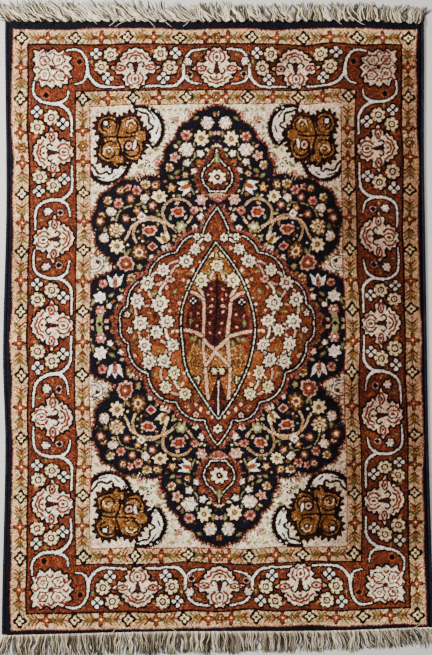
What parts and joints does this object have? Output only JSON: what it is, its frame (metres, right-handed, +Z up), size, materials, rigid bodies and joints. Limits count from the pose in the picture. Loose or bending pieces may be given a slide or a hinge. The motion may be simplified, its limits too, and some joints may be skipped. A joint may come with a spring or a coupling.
{
  "type": "kashmir rug",
  "caption": "Small hand-knotted rug lying flat on the floor, with a medallion field, flowered borders, overcast sides and a cut warp fringe at its ends.",
  "frame": {"origin": "middle of the underside of the knotted part, on the floor", "axes": "+X across the rug, +Y along it to the far end with the strongly leaning fringe, +Z up out of the pile"},
  "size_m": [0.6742, 0.9884, 0.005],
  "materials": {
    "silk_pile": "cut silk pile in ivory, rust, navy, gold, green and rose, with a soft directional sheen",
    "navy_overcast": "matt navy wool yarn wrapped round the side cords",
    "cream_warp": "undyed cream cotton warp, matt and slightly grey from use"
  },
  "bodies": {
    "root": {"knotted_pile": "silk_pile", "side_cord_left": "navy_overcast", "side_cord_right": "navy_overcast", "fringe_far": "cream_warp", "fringe_near": "cream_warp"}
  },
  "joints": []
}
